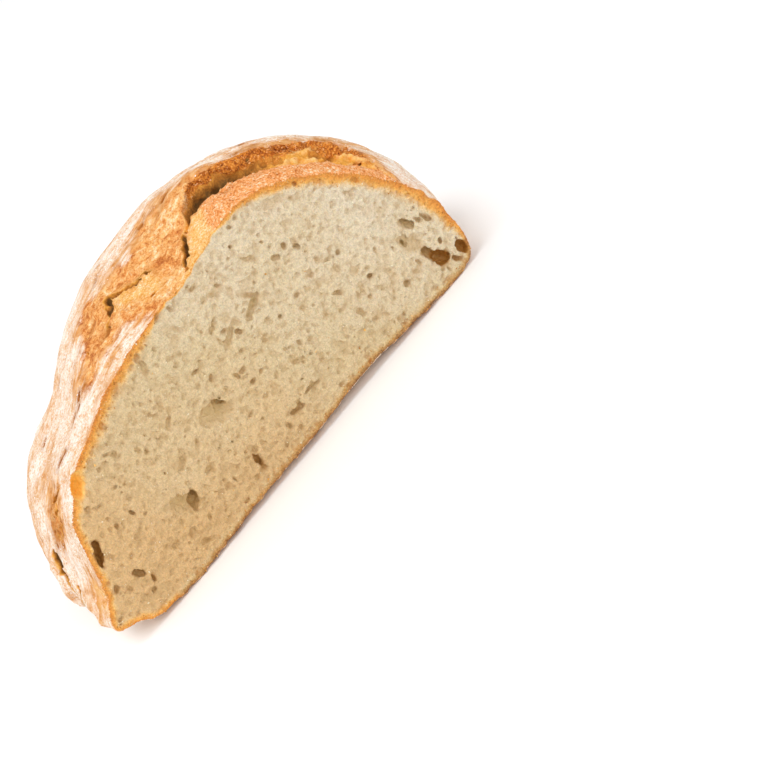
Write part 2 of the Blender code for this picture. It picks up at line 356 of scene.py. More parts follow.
def zone_map(zones):
    """Distance on the map to the nearest border of the zones: negative inside them."""
    along, behind = np.meshgrid(np.arange(0, DOME_ALONG[-1] + 2 * MAP_STEP, MAP_STEP),
                                np.arange(-MAP_AHEAD, DEPTH + 6, MAP_STEP), indexing="ij")
    total = np.full(along.shape, 999.0)
    for corners in zones:
        nearest = np.full(along.shape, 999.0)
        inside = np.zeros(along.shape, bool)
        for (a0, b0), (a1, b1) in zip(corners, (*corners[1:], corners[0])):
            run, rise = a1 - a0, b1 - b0
            share = np.clip(((along - a0) * run + (behind - b0) * rise) / (run**2 + rise**2), 0, 1)
            nearest = np.minimum(nearest, np.hypot(along - a0 - share * run, behind - b0 - share * rise))
            if run:
                crossed = (min(a0, a1) <= along) & (along < max(a0, a1))
                inside ^= crossed & (behind < b0 + rise * (along - a0) / run)
        total = np.minimum(total, np.where(inside, -nearest, nearest))
    return total.astype(np.float32)


def read_map(chart, along, behind):
    """Values of a map at places between its knots."""
    u = np.clip(along / MAP_STEP, 0, chart.shape[0] - 1.01)
    v = np.clip((behind + MAP_AHEAD) / MAP_STEP, 0, chart.shape[1] - 1.01)
    i, j = u.astype(int), v.astype(int)
    p, q = u - i, v - j
    near_row, far_row = (chart[i, j + k] * (1 - p) + chart[i + 1, j + k] * p for k in (0, 1))
    return near_row * (1 - q) + far_row * q


TORN_MAP, LIP_MAP, PALE_MAP = zone_map(TORN_ZONES), zone_map(LIP_ZONES), zone_map(PALE_ZONES)


def zone_borders(places, along):
    """Millimetres to the frayed borders of the torn, lip and pale zones, and the share of the base."""
    fray = 1.6 * soft_noise(places, 6, 41) + 0.9 * soft_noise(places, 2.4, 42)
    torn, lip, pale = (read_map(chart, along, places[:, 1]) for chart in (TORN_MAP, LIP_MAP, PALE_MAP))
    base = ease(5, 1.5, places[:, 2]) * ease(-10, 0, 118 - np.abs(places[:, 0] - CENTRE_X))
    return torn + fray, lip + 0.4 * fray, pale + fray, base


print("map of the crust:", TORN_MAP.shape, "knots,", round(100 * float((TORN_MAP < 0).mean())), "% torn")

# %% [markdown]
# ## Relief of the crust
#
# Floured crust is matt and softly wrinkled along the loaf. Torn crust is craggy, with grains of a
# millimetre or two. The base is rough where it lay on the oven floor, and cut off flat where it
# rests. All of it is added to the distance, but only near the skin, because the rest of the grid
# never becomes a surface.

# %% Add the relief
RELIEF_REACH = 4.7
# size of the noise, then its height on plain, rough, pale, lip and base crust, in millimetres
ROUGHNESS = (
    (8, 0.35, 0.75, 0.2, 0, 0),
    (3.6, 0.16, 0.75, 0.2, 0, 0.45),
    (1.9, 0.08, 0.5, 0.12, 0.24, 0.3),
)
# height, length and width of the wrinkles, which run along the loaf
WRINKLES = ((0.42, 26, 4.2), (0.22, 11, 2.2))
# two flakes that stand off the crust low on the left: behind the cut, their middle, the half width
# that is full and the one where they end; along the outline, where they start, are full, fall, end
FLAKES = ((39, 2, 5, 38, 44, 68, 76), (17, 5, 13, 34, 41, 48, 56))
FLAKE_RISE = 2.8
SHOULDER_RISE = 0.8

near = np.flatnonzero(np.abs(crust_distance) < RELIEF_REACH)
places = grid_places(near)
along, behind = crust_along(places), places[:, 1]
border, lip_border, pale_border, base = zone_borders(places, along)
torn, lip, pale = ease(2, -2, border), ease(0.8, -0.8, lip_border), ease(2, -2, pale_border)
rough = np.clip(torn - 0.7 * lip - 0.4 * pale, 0, 1)
relief = np.zeros(len(near), np.float32)
for seed, (size, *heights) in enumerate(ROUGHNESS, 1):
    height = sum(rise * share for rise, share in zip(heights, (1, rough, pale, lip, base)))
    relief += height * soft_noise(places, size, seed)
spots = np.stack([along, behind, 0 * along], -1)
for seed, (height, length, width) in enumerate(WRINKLES, 4):
    wrinkle = 1 - 2 * np.abs(soft_noise(spots, (length, width, 9), seed))
    relief += height * wrinkle * (1 - torn) * (1 - base)
shoulder = ease(26, 10, border) * ease(0, 6, border) * ease(8, 16, behind)
relief += SHOULDER_RISE * shoulder * soft_noise(places, 13, 6)
flake = np.zeros(len(near))
for middle, half, fade, start, full, falling, end in FLAKES:
    stretch = ease(start, full, along) * ease(end, falling, along)
    flake = np.maximum(flake, ease(fade, half, np.abs(behind - middle)) * stretch)
relief += FLAKE_RISE * flake * (0.8 + 0.5 * soft_noise(places, 4, 7))
field = crust_distance.copy()
field.reshape(-1)[near] -= relief
heights = np.arange(grid_shape[2]) * GRID_STEP + GRID_LOW[2]
field = np.maximum(field, -heights.astype(np.float32))
crust_field = field.copy()
print("relief on", len(near), "grid points, from", round(float(relief.min()), 2), "to",
      round(float(relief.max()), 2), "mm")

# %% [markdown]
# ## Opening the burst and the fissures
#
# The tear falls steeply behind the lip and climbs back to the ear, and it leans under the ear a
# little. Its walls are as craggy as torn dough. Fissures are thin slots that wander over the torn
# crust. Each is a path of points: the way along the outline, the way behind the cut, half the width
# and the depth, in millimetres.

# %% Cut the slots
SLANT = 0.3
SLOT_REACH = 51
# height, size and seed of the noise on the walls of the burst
CRAGS = ((1.7, 5, 12), (1.5, 2.6, 13), (0.8, 1.6, 17))
FISSURES = (
    ((219, 20.5, 0.5, 1.5), (217, 18.5, 1.0, 2.5), (215, 16, 1.5, 3.7), (212, 12, 1.7, 4.3),
     (209, 9.5, 1.2, 3.1), (206.5, 8, 1.1, 2.5), (205, 3.5, 0.5, 1.5)),
    ((199, 24, 0.6, 1.9), (196, 25.5, 1.3, 3.1), (193, 26.2, 1.7, 3.7), (190, 28.5, 1.2, 3.1),
     (187, 32, 0.8, 2.5)),
    ((187, 30.5, 0.7, 1.9), (184.5, 33.5, 1.3, 3.1), (182, 37.7, 1.5, 3.7), (180, 37, 1.8, 4.3),
     (177.5, 33, 1.4, 3.7), (175, 31, 1.0, 3.1)),
    ((174, 30, 0.8, 2.5), (172, 27.5, 1.0, 3.1), (169, 25.5, 0.8, 2.5), (166, 24.4, 1.1, 2.5)),
    ((190, 11.3, 1.6, 1.5), (191.5, 11.8, 1.4, 1.5)),
    ((165, 43.5, 0.6, 1.5), (163.5, 40, 1.0, 1.9)),
    ((158, 34, 0.5, 1.5), (157, 31.5, 0.8, 1.5)),
    ((296, 8, 0.5, 1.5), (302, 6.5, 0.8, 1.9), (309, 5, 0.8, 1.9), (316, 3.5, 0.4, 1.5)),
    ((245, 31, 0.5, 1.9), (249, 30.5, 1.2, 2.5), (254, 30, 0.5, 1.9)),
    ((258, 29.5, 0.6, 1.9), (263, 29, 1.3, 2.5), (267, 29, 0.5, 1.9)),
    ((271, 28.5, 1.0, 1.9), (276, 28.5, 1.1, 1.9)),
    ((281, 27, 1.5, 1.9), (287, 26.5, 1.7, 1.9), (291, 26, 0.8, 1.9)),
    ((103, 17, 0.5, 1.5), (101, 20, 0.9, 1.9), (97, 23, 1.2, 2.5), (94, 28, 1.4, 2.5),
     (92, 30, 0.6, 1.5)),
    ((94, 25, 0.7, 1.5), (91, 22, 1.1, 2.5), (89, 19, 0.6, 1.5)),
    ((90, 23, 0.6, 1.9), (86, 20.5, 1.3, 2.5), (82, 21, 1.4, 2.5), (77, 24, 0.7, 1.5)),
    ((84, 26, 0.5, 1.5), (81, 28, 1.1, 1.9), (78, 27, 0.6, 1.5)),
    ((72, 36, 0.8, 3), (68, 34.5, 1.5, 6), (63, 34, 1.3, 6), (58, 33, 1.4, 6), (52, 32.5, 1.5, 6),
     (46, 32, 1.3, 5), (42, 31, 0.7, 3)),
    ((58, 27.5, 0.5, 1.5), (55, 25.5, 0.9, 3), (52, 24.5, 0.8, 3), (49, 23.5, 1.0, 3.5),
     (46, 22.5, 0.9, 3), (43, 20.5, 0.5, 2)),
)


def smooth_cut(solid, hollow, soft):
    """Takes a hollow out of a solid, both given as distances, with a soft edge."""
    blend = np.clip(0.5 - 0.5 * (solid + hollow) / soft, 0, 1)
    return solid * (1 - blend) - hollow * blend + soft * blend * (1 - blend)


def burst_hollow(places, along, under):
    """Distance to the hollow of the burst: negative inside it."""
    front, rear, deep = (read_off(BURST, along, i) for i in (1, 2, 3))
    edge = np.stack([along, 0 * along, 0 * along], -1)
    rear = rear + 1.3 * soft_noise(edge, 7, 15) + 0.7 * soft_noise(edge, 2.5, 16)
    across = (places[:, 1] - SLANT * np.maximum(under, 0) - front) / (rear - front)
    crags = sum(rise * soft_noise(places, size, seed) for rise, size, seed in CRAGS)
    floor = deep * (1 + 0.3 * soft_noise(edge, 6, 14)) * ease(0, 0.3, across) * ease(1.1, 0.5, across)
    hollow = (under - floor) * 0.6 + crags * ease(0, 2, deep)
    return np.where((across > 0) & (across < 1.1) & (deep > 0.1), hollow, 9)


def slot_hollow(places, along, under, path):
    """Distance to a ragged thin slot that follows a path and narrows towards its ends."""
    wander = [1.2 * soft_noise(places, 3.2, 21 + i) + 0.9 * soft_noise(places, 1.6, 25 + i)
              for i in range(2)]
    spot = np.stack([along + wander[0], places[:, 1] + wander[1]], -1)
    total = np.full(len(places), 9.0)
    for start, end in zip(path, path[1:]):
        run = end[:2] - start[:2]
        share = np.clip((spot - start[:2]) @ run / (run @ run), 0, 1)
        nearest = np.hypot(*(spot - start[:2] - share[:, None] * run).T)
        half, deep = (start[i] + share * (end[i] - start[i]) for i in (2, 3))
        reach = np.hypot(nearest / half, np.maximum(under, 0) / deep)
        total = np.minimum(total, (reach - 1) * np.minimum(half, deep))
    return total


slot_rows = int((SLOT_REACH - GRID_LOW[1]) / GRID_STEP)
torn_open = np.full(grid_shape, 9, np.float32)
slot_open = np.full(grid_shape, 9, np.float32)
reachable = (crust_distance > -14) & (crust_distance < 4)
reachable[:, slot_rows:] = False
slots = np.flatnonzero(reachable)
places = grid_places(slots)
along = crust_along(places)
under = -crust_distance.reshape(-1)[slots]
hollow = np.full(len(slots), 9.0)
slot = hollow.copy()
around = along > BURST[0][0]
hollow[around] = burst_hollow(places[around], along[around], under[around])
for path in map(np.array, FISSURES):
    low, high = path[:, :2].min(0) - 5, path[:, :2].max(0) + 5
    around = (along > low[0]) & (along < high[0]) & (places[:, 1] > low[1]) & (places[:, 1] < high[1])
    around &= under < path[:, 3].max() + 2
    found = slot_hollow(places[around], along[around], under[around], path)
    slot[around] = np.minimum(slot[around], found)
hollow = np.minimum(hollow, slot)
torn_open.reshape(-1)[slots] = hollow
slot_open.reshape(-1)[slots] = slot
field.reshape(-1)[slots] = smooth_cut(field.reshape(-1)[slots], hollow, 0.4)
print("burst and fissures cut through", int((hollow < 0).sum()), "grid points")

# %% [markdown]
# ## Blisters
#
# Bubbles under the skin burst in the heat and leave holes of a few millimetres with dark edges,
# drawn out along the outline. Some have set places, and the others come from a seeded generator.

# %% Scatter blister holes
# way along and behind, and radius, in millimetres
NAMED_BLISTERS = (
    (186, 62, 1.2), (190, 64, 0.9), (139, 25, 1.5), (135, 21, 1.2), (130, 24.5, 1.3), (114, 18, 1.8),
    (111, 20, 1.4), (116, 15.5, 0.9), (215, 55, 1.1), (141, 65, 0.8), (88, 25, 0.9), (85, 28, 0.8),
    (82, 24, 1.0), (79, 26, 0.8), (91, 27, 0.8), (86, 18, 0.7), (77, 29, 0.7), (80, 31, 0.8),
    (74, 31, 0.8), (75, 26, 0.7),
)
DRAWN_BLISTERS = 36
draw = np.random.default_rng(21)
BLISTERS = [*NAMED_BLISTERS]
for _ in range(DRAWN_BLISTERS):
    BLISTERS.append((draw.uniform(20, 370), draw.uniform(14, 118), 0.45 + 0.9 * draw.random() ** 2))
holes = np.flatnonzero(np.abs(crust_distance) < 3)
places = grid_places(holes)
along = crust_along(places)
height = crust_distance.reshape(-1)[holes]
pit = np.full(len(holes), 9, np.float32)
for spot, behind, size in BLISTERS:
    close = np.flatnonzero((np.abs(along - spot) < 5) & (np.abs(places[:, 1] - behind) < 5))
    bent = 0.9 * soft_noise(places[close], 2.2, 71)
    off = np.hypot((along[close] - spot + bent) / 1.8, places[close, 1] - behind + bent)
    ball = np.hypot(off, height[close]) - size + 0.5 * soft_noise(places[close], 1.6, 72)
    pit[close] = np.minimum(pit[close], ball)
blistered = np.full(grid_shape, 9, np.float32)
blistered.reshape(-1)[holes] = pit
field.reshape(-1)[holes] = smooth_cut(field.reshape(-1)[holes], pit, 0.5)
print(len(BLISTERS), "blisters")

# %% [markdown]
# ## The cut and its pores
#
# A knife leaves a nearly flat face. Gas bubbles that it met are open pores: a few large ones, whose
# places and tilts are listed, hundreds of small ones that lie along the outline because the dough
# was rolled that way, and a fine sponge between them, which is plain noise on the cut.

# %% Pore table and scatter
# across, up, length, width, depth in millimetres, tilt in degrees, and how brown the inside is,
# partly the crust's own brown and partly painted shade: below 0 it is golden
PORES = (
    (210.0, 12.2, 8.4, 7.0, 6.0, -50, 1.0), (206.3, 18.0, 8.6, 4.4, 4.6, -68, 0.5),
    (215.0, 6.5, 5, 2.4, 3.0, -60, 0.7), (220.0, 8.4, 7.5, 5.2, 5.0, -78, 0.9),
    (203.0, 28.0, 13.5, 6.4, 2.4, -64, 0), (201.2, 29.6, 4.2, 2.8, 4.5, -77, 0),
    (208.0, 35.0, 10.0, 3.6, 3.6, -65, 0.1), (216.3, 30.0, 7.0, 2.0, 3.0, -64, 0.3),
    (91.5, 44.2, 17, 9.5, 3.0, -22, 0), (94.1, 45.2, 7.4, 5.4, 5.0, -40, 0.15),
    (55.5, 27.8, 12.8, 7.4, 3.2, -55, 0), (59.0, 25.2, 9.0, 4.6, 6.5, 53, 0.35),
    (17.2, 41.6, 12.4, 3.6, 6.5, 63, 0.9), (133.9, 63, 14.8, 3.0, 3.4, 24, 0),
    (118.7, 62.1, 13.8, 2.6, 2.0, 32, 0), (115.1, 70.2, 7.8, 2.1, 1.8, 37, 0),
    (66.7, 40.5, 8.4, 2.6, 2.4, 30, 0), (22.8, 22.5, 6.4, 3.9, 4.0, -74, 0.45),
    (25.6, 16.4, 3.9, 1.8, 3.2, 71, 0.7), (11.5, 25.7, 4.0, 1.8, 2.6, 63, 0.5),
    (38.2, 42.4, 3.7, 1.6, 2.5, 89, 0.2), (49.6, 23.1, 3.3, 1.8, 2.0, -81, 0),
    (90.0, 14.9, 7.4, 2.6, 4.5, 88, 0.7), (117.2, 16.8, 7.4, 3.0, 3.6, -10, 0.35),
    (129.3, 18.6, 11.1, 2.1, 2.4, -6, 0.1), (69.5, 83.1, 5.2, 2.1, 1.8, 45, 0),
    (83.3, 80.7, 5.7, 3.6, 2.2, 53, 0), (55.2, 76.6, 4.9, 3.0, 2.0, 76, 0),
    (50.4, 64.7, 3.0, 2.6, 2.2, 61, 0), (73.2, 29.3, 6.9, 2.6, 2.4, 8, 0),
    (164.1, 38.1, 5.0, 2.6, 2.6, -47, 0.15), (145.6, 78.3, 7.0, 2.6, 2.0, -49, 0),
    (170.1, 87.2, 13.0, 4.6, 1.6, -24, 0), (164.3, 65.7, 4.2, 2.8, 3.0, -46, 0.1),
    (30.8, 67.4, 13.0, 6.6, 5.0, 57, -1), (180.0, 31.8, 3.4, 3.0, 3.0, 0, 0.2),
    (190.3, 16.7, 3.5, 3.0, 3.0, 0, 0.2), (160.6, 70.7, 3.2, 2.6, 2.8, -76, 0.15),
    (154.5, 69.4, 4.1, 3.0, 2.6, -46, 0.1), (149.0, 45.4, 4.2, 2.2, 2.0, -41, 0),
    (166, 24.1, 4.6, 2.6, 2.4, -63, 0), (139.0, 50.5, 3.0, 2.0, 2.0, -40, 0),
    (75.0, 57.0, 3.4, 1.8, 2.0, 40, 0.1), (60.0, 55.5, 2.8, 2.2, 2.4, 60, 0),
)
SMALL_PORES = 620
draw = np.random.default_rng(4)


def small_pores():
    """Seeded small pores inside the cut face, drawn out along the outline, few of them large."""
    found = []
    while len(found) < SMALL_PORES:
        turn = draw.uniform(-12, 192)
        share = math.sqrt(draw.uniform(0.02, 1))
        radius = np.interp(turn, DOME_ANGLES, DOME_RADII) * share
        across = CENTRE_X - math.cos(math.radians(turn)) * radius
        up = CENTRE_Z + math.sin(math.radians(turn)) * radius
        if draw.random() < 0.35:
            across, up = draw.uniform(12, 215), draw.uniform(5, 22)
        width = 0.8 + 1.5 * draw.random() ** 3
        length = width * draw.uniform(1.0, 2.4)
        tilt = 90 - turn + draw.normal(0, 26)
        if up > 4.5:
            # each small pore is a little brown inside: painted shade
            found.append((across, up, length, width, width * draw.uniform(0.5, 1.1), tilt, 0.22))
    return found


print("the largest pore is", max(row[2] for row in PORES), "mm long")

# %% Cut the face and open the pores
FACE_REACH = 10
# height, size and seed of the noise that the knife leaves: a fine grain and a slow wander
CUT_MARKS = ((0.25, 1.3, 33), (0.25, 16, 34))
PIT_DEPTH = 0.8
# size and seed of the noise that makes the sponge
SPONGE = (((2.2, 2.4, 2.2), 31), ((1.35, 1.6, 1.35), 32))
LEAN = 0.8

face_rows = int((FACE_REACH - GRID_LOW[1]) / GRID_STEP)
in_reach = np.zeros(grid_shape, bool)
in_reach[:, :face_rows] = crust_distance[:, :face_rows] < 1.5
picked = np.flatnonzero(in_reach)
places = grid_places(picked)
inside = -crust_distance.reshape(-1)[picked]
pits = sum(PIT_DEPTH * ease(0.1, 0.6, soft_noise(places, size, seed)) for size, seed in SPONGE)
marks = sum(height * soft_noise(places, size, seed) for height, size, seed in CUT_MARKS)
face = -places[:, 1] - marks + pits * (0.35 + 0.65 * ease(0.8, 3, inside))
warp = np.stack([0.5 * soft_noise(places, 2.8, 35 + axis) + 0.55 * soft_noise(places, 1.5, 38 + axis)
                 for axis in range(3)], -1)
warped = places + warp * ease(0.5, 3, inside)[:, None]
ragged = 0.55 * soft_noise(places, 1.8, 73) * ease(3, 0, places[:, 1])
pore = np.full(len(picked), 9, np.float32)
# brown inside the pores, partly the crust's own brown and partly painted shade
tone = np.zeros(len(picked), np.float32)
order = np.argsort(places[:, 0], kind="stable")
sorted_x = places[order, 0]
for across, up, length, width, deep, tilt, brown_and_shade in (*PORES, *small_pores()):
    reach = max(length, width) / 2 + 2.5
    first, last = np.searchsorted(sorted_x, (across - reach, across + reach))
    close = order[first:last]
    close = close[(np.abs(places[close, 2] - up) < reach) & (places[close, 1] < deep + 2)]
    turn = math.radians(tilt)
    lean = LEAN * ease(2.5, 4, width) * (1 - abs(brown_and_shade)) * (warped[close, 1] - 1)
    dx, dz = warped[close, 0] - across - lean, warped[close, 2] - up - 0.5 * lean
    u = (dx * math.cos(turn) + dz * math.sin(turn)) / (length / 2)
    w = (dz * math.cos(turn) - dx * math.sin(turn)) / (width / 2)
    sunk = np.abs(warped[close, 1] / deep) ** (2 + 3 * max(brown_and_shade, 0))
    egg = (np.sqrt(u * u + w * w + sunk) - 1) * min(width / 2, deep)
    if length > 6:
        egg += ragged[close]
    # the brown grows with depth into the pore: partly crust seen through, partly painted shade
    toned_and_shaded = brown_and_shade * ease(1.2, 0.2, egg) * ease(0.1, 2, places[close, 1])
    tone[close] = np.where(np.abs(toned_and_shaded) > np.abs(tone[close]), toned_and_shaded, tone[close])
    pore[close] = np.minimum(pore[close], egg)
face = smooth_cut(face, pore, 0.8)
field.reshape(-1)[picked] = np.maximum(field.reshape(-1)[picked], face)
pore_tone_and_shade_grid = np.zeros(grid_shape, np.float32)
pore_tone_and_shade_grid.reshape(-1)[picked] = tone
print(len(PORES), "large and", SMALL_PORES, "small pores")

# %% [markdown]
# ## From field to mesh
#
# The skin is where the distance is zero. Meshing the grid there gives even quads of about the grid's
# step, which is near the size of one picture element, so crags and pores are real geometry.

# %% Mesh the whole skin once
whole = openvdb.FloatGrid(2.0)
whole.copyFromArray(np.clip(field, -2, 2).astype(np.float32))
whole.transform = grid_scale
skin_points, skin_quads = whole.convertToQuads(isovalue=0.0)
skin_points = skin_points + GRID_LOW.astype(np.float32)
print("skin:", len(skin_points), "points,", len(skin_quads), "quads")

# %% [markdown]
# ## Measures that the colours follow
#
# Baking browns bread by depth: the crust is a few millimetres thick, and its colour fades into the
# crumb. So each point of the skin keeps how deep it lies under the crust, whether it is on the wall
# of the burst, how deep it is in a pore, and which zone it belongs to. Depth on the walls of the
# burst and its slots and in the pores also darkens their colour, as painted shade. The browned rim is
# thick at the heel and at the left, and almost nothing where the pale torn dough meets the cut.
# Shaders read these measures as attributes, and add their own finer noise.

# %% Measure every point of the skin
# along the outline, thickness of the browned rim in millimetres
RIM = ((40, 4), (60, 4), (85, 4.5), (105, 5), (130, 6.5), (165, 5.5), (180, 3), (188, 1.3), (222, 1.3),
       (228, 2.6), (245, 3.6), (262, 5), (285, 5.5), (300, 6), (322, 6.5), (340, 6.5), (357, 6.5), (383, 5))
BASE_RIM = 4.4
BORDER_REACH = (-20, 40)
# where the ear rises and falls along the outline, and where the rim of the base begins: its two
# heights, and its two distances from the middle of the base
EAR_RISES, EAR_FALLS = (222, 228), (314, 303)
FLOOR_HEIGHTS, FLOOR_WAYS, FLOOR_MIDDLE = (16, 8), (103, 95), 126


def sampled(grid, points):
    """Values of a grid at points between its places."""
    cell = (points - GRID_LOW.astype(np.float32)) / np.float32(GRID_STEP)
    cell = np.clip(cell, 0, np.array(grid_shape) - 1.001).astype(np.float32)
    whole = cell.astype(np.int32)
    part = cell - whole
    total = np.zeros(len(points), np.float32)
    for corner in range(8):
        step = [corner >> i & 1 for i in range(3)]
        share = np.prod([part[:, i] if step[i] else 1 - part[:, i] for i in range(3)], axis=0)
        total += grid[whole[:, 0] + step[0], whole[:, 1] + step[1], whole[:, 2] + step[2]] * share
    return total


def point_normals(points, quads):
    """Smooth normals of the skin, weighted by the area of the faces."""
    a, b, c, d = (points[quads[:, i]] for i in range(4))
    turned = np.cross(c - a, d - b)
    total = np.zeros((len(points), 3))
    for i in range(4):
        for axis in range(3):
            total[:, axis] += np.bincount(quads[:, i], turned[:, axis], len(points))
    return total / np.maximum(np.linalg.norm(total, axis=1), 1e-9)[:, None]


skin_depth = -sampled(crust_field, skin_points)
along, behind = crust_along(skin_points), skin_points[:, 1]
border, lip_border, pale_border, base = zone_borders(skin_points, along)
front_edge, rear_edge = read_off(BURST, along, 1), read_off(BURST, along, 2)
ear_start = np.interp(along, (248, 265), (0.4, 0.62))
ear = ease(0, 0.22, (behind - front_edge) / (rear_edge - front_edge) - ear_start)
ear *= ease(3.5, 0.8, behind - rear_edge) * ease(2.2, 0.6, sampled(torn_open, skin_points))
ear *= ease(5.5, 2, skin_depth) * ease(*EAR_RISES, along) * ease(*EAR_FALLS, along)
tear = ease(0.9, 0.3, sampled(torn_open, skin_points)) * ease(0.15, 0.6, skin_depth)
to_blister = sampled(blistered, skin_points)
blister = ease(0.9, 0.3, to_blister) * ease(0.1, 0.5, skin_depth)
cut = ease(0.15, 0.45, skin_depth) * (1 - tear) * (1 - blister) * (behind < FACE_REACH - 0.5)
floor_side = ease(*FLOOR_HEIGHTS, skin_points[:, 2])
floor_side *= ease(*FLOOR_WAYS, np.abs(skin_points[:, 0] - FLOOR_MIDDLE))
rim = read_off(RIM, along, 1) * (1 - floor_side) + BASE_RIM * floor_side
MEASURES = {
    "along": along,
    "behind": behind,
    "torn_border": np.clip(border, *BORDER_REACH),
    "lip_border": np.clip(lip_border, *BORDER_REACH),
    "pale_border": np.clip(pale_border, *BORDER_REACH),
    "base": base,
    "floor_side": floor_side,
    "baked": skin_depth / rim,
    "ear": ear,
    "tear": tear,
    # depth on the walls, three times deeper in narrow slots, so that they get more painted shade
    "wall_depth": skin_depth * (1 + 2.0 * ease(1.2, 0.4, sampled(slot_open, skin_points))),
    "scorched": np.maximum(blister, 0.4 * ease(2.4, 0.5, to_blister)),
    # depth in a pore, which paints the pore darker as painted shade
    "pore_depth": cut * ease(0.9, 4.6, behind),
    # brown inside pores, partly the crust's own brown and partly painted shade
    "pore_tone": cut * sampled(pore_tone_and_shade_grid, skin_points),
}
skin_rise = point_normals(skin_points, skin_quads)
is_crumb = cut[skin_quads].mean(1) > 0.5
print("cut face:", int(is_crumb.sum()), "of", len(skin_quads), "quads")

# %% [markdown]
# ## Four slabs
#
# One mesh of the whole skin would be heavy to handle, so it is sliced across into closed slabs, like
# slices of the loaf. Each slab keeps the smooth normals of the whole, so that no seam shows.

# %% Slice the skin into slabs
SEAMS = (-1, 8.8, 45, 90, 134)


def slab_object(name, start, end):
    """The closed slab of the skin between two planes across the loaf."""
    height = skin_points[:, 1]
    inside = (height[skin_quads] > start).any(1) & (height[skin_quads] < end).any(1)
    used, quads = np.unique(skin_quads[inside], return_inverse=True)
    mesh = bpy.data.meshes.new(name)
    mesh.from_pydata(skin_points[used].tolist(), [], quads.reshape(-1, 4).tolist())
    for label, values in MEASURES.items():
        layer = mesh.attributes.new(label, "FLOAT", "POINT")
        layer.data.foreach_set("value", values[used].astype(np.float32))
    layer = mesh.attributes.new("rise", "FLOAT_VECTOR", "POINT")
    layer.data.foreach_set("vector", skin_rise[used].astype(np.float32).ravel())
    mesh.polygons.foreach_set("material_index", (~is_crumb[inside]).astype(np.int32))
    shape = bmesh.new()
    shape.from_mesh(mesh)
    for plane, facing in ((start, -1), (end, 1)):
        parts = shape.verts[:] + shape.edges[:] + shape.faces[:]
        sliced = bmesh.ops.bisect_plane(shape, geom=parts, dist=1e-5, plane_co=(0, plane, 0),
                                        plane_no=(0, facing, 0), clear_outer=True)
        rim = [part for part in sliced["geom_cut"] if isinstance(part, bmesh.types.BMEdge)]
        if rim:
            cap = bmesh.ops.triangle_fill(shape, edges=rim, normal=(0, facing, 0), use_beauty=False)
            for face in cap["geom"]:
                if isinstance(face, bmesh.types.BMFace):
                    face.material_index = 1
                    if face.normal.y * facing < 0:
                        face.normal_flip()
    bmesh.ops.triangulate(shape, faces=shape.faces[:])
    shape.to_mesh(mesh)
    shape.free()
    corners = np.empty(len(mesh.loops), np.int32)
    mesh.loops.foreach_get("vertex_index", corners)
    rises = np.empty(len(mesh.vertices) * 3, np.float32)
    mesh.attributes["rise"].data.foreach_get("vector", rises)
    flat = np.empty(len(mesh.polygons) * 3, np.float32)
    mesh.polygons.foreach_get("normal", flat)
    places = np.empty(len(mesh.vertices) * 3, np.float32)
    mesh.vertices.foreach_get("co", places)
    places = places.reshape(-1, 3)
    normals = rises.reshape(-1, 3)[corners]
    flat = np.repeat(flat.reshape(-1, 3), 3, axis=0)
    height = places[corners, 1].reshape(-1, 3)
    on_cap = (np.abs(height - start).max(1) < 1e-3) | (np.abs(height - end).max(1) < 1e-3)
    normals = np.where(np.repeat(on_cap, 3)[:, None], flat, normals)
    mesh.attributes.remove(mesh.attributes["rise"])
    mesh.vertices.foreach_set("co", ((places + TO_FRAME) * MM).astype(np.float32).ravel())
    mesh.shade_smooth()
    mesh.normals_split_custom_set(normals)
    piece = bpy.data.objects.new(name, mesh)
    bpy.context.scene.collection.objects.link(piece)
    print(name, "has", len(mesh.polygons), "triangles")
    return piece


SLAB_NAMES = ("cut_slab", "burst_slab", "dome_slab", "end_slab")
slabs = [slab_object(name, start, end) for name, start, end in zip(SLAB_NAMES, SEAMS, SEAMS[1:])]

# %% [markdown]
# ## Materials
#
# Crust, crumb and flour are all wheat: what differs is how they were made. Crust is dough that dried
# and browned, crumb is dough that steamed and stayed pale and a little translucent, and flour is a
# dry powder that scatters light evenly. None of them shines, so all are rough.

# %% A helper that adds one node


def add(tree, kind, inputs=(), stops=(), **settings):
    """Adds a node with its settings, inputs and ramp stops, and gives back its outputs.

    Inputs come in the node's order or by name or number. Each is a value, a colour in hex, an
    output, or the outputs of a node, of which it takes the first that is in use.
    """
    made = tree.nodes.new(kind)
    for name, value in settings.items():
        setattr(made, name, value)
    for name, value in (inputs if isinstance(inputs, dict) else dict(enumerate(inputs))).items():
        if isinstance(value, bpy.types.bpy_prop_collection):
            value = next(output for output in value if output.enabled)
        if isinstance(value, bpy.types.NodeSocket):
            tree.links.new(value, made.inputs[name])
        else:
            is_colour = isinstance(value, str) and value.startswith("#")
            made.inputs[name].default_value = linear(value) if is_colour else value
    for number, (position, colour) in enumerate(stops):
        elements = made.color_ramp.elements
        element = elements[number] if number < len(elements) else elements.new(position)
        element.position, element.color = position, linear(colour)
    return made.outputs


def swayed(tree, value, wave, amount):
    """A value that a noise moves up and down; the amount is for the whole swing of the noise."""
    off_middle = add(tree, "ShaderNodeMath", (wave, 0.5), operation="SUBTRACT")
    return add(tree, "ShaderNodeMath", (off_middle, amount, value), operation="MULTIPLY_ADD")


def new_material(name, finish):
    """A material whose shader has the finish's own values, its tree and its object coordinates."""
    material = bpy.data.materials.new(name)
    material.use_nodes = True
    tree = material.node_tree
    for label, value in finish.items():
        tree.nodes["Principled BSDF"].inputs[label].default_value = value
    return material, tree, add(tree, "ShaderNodeTexCoord")["Object"]


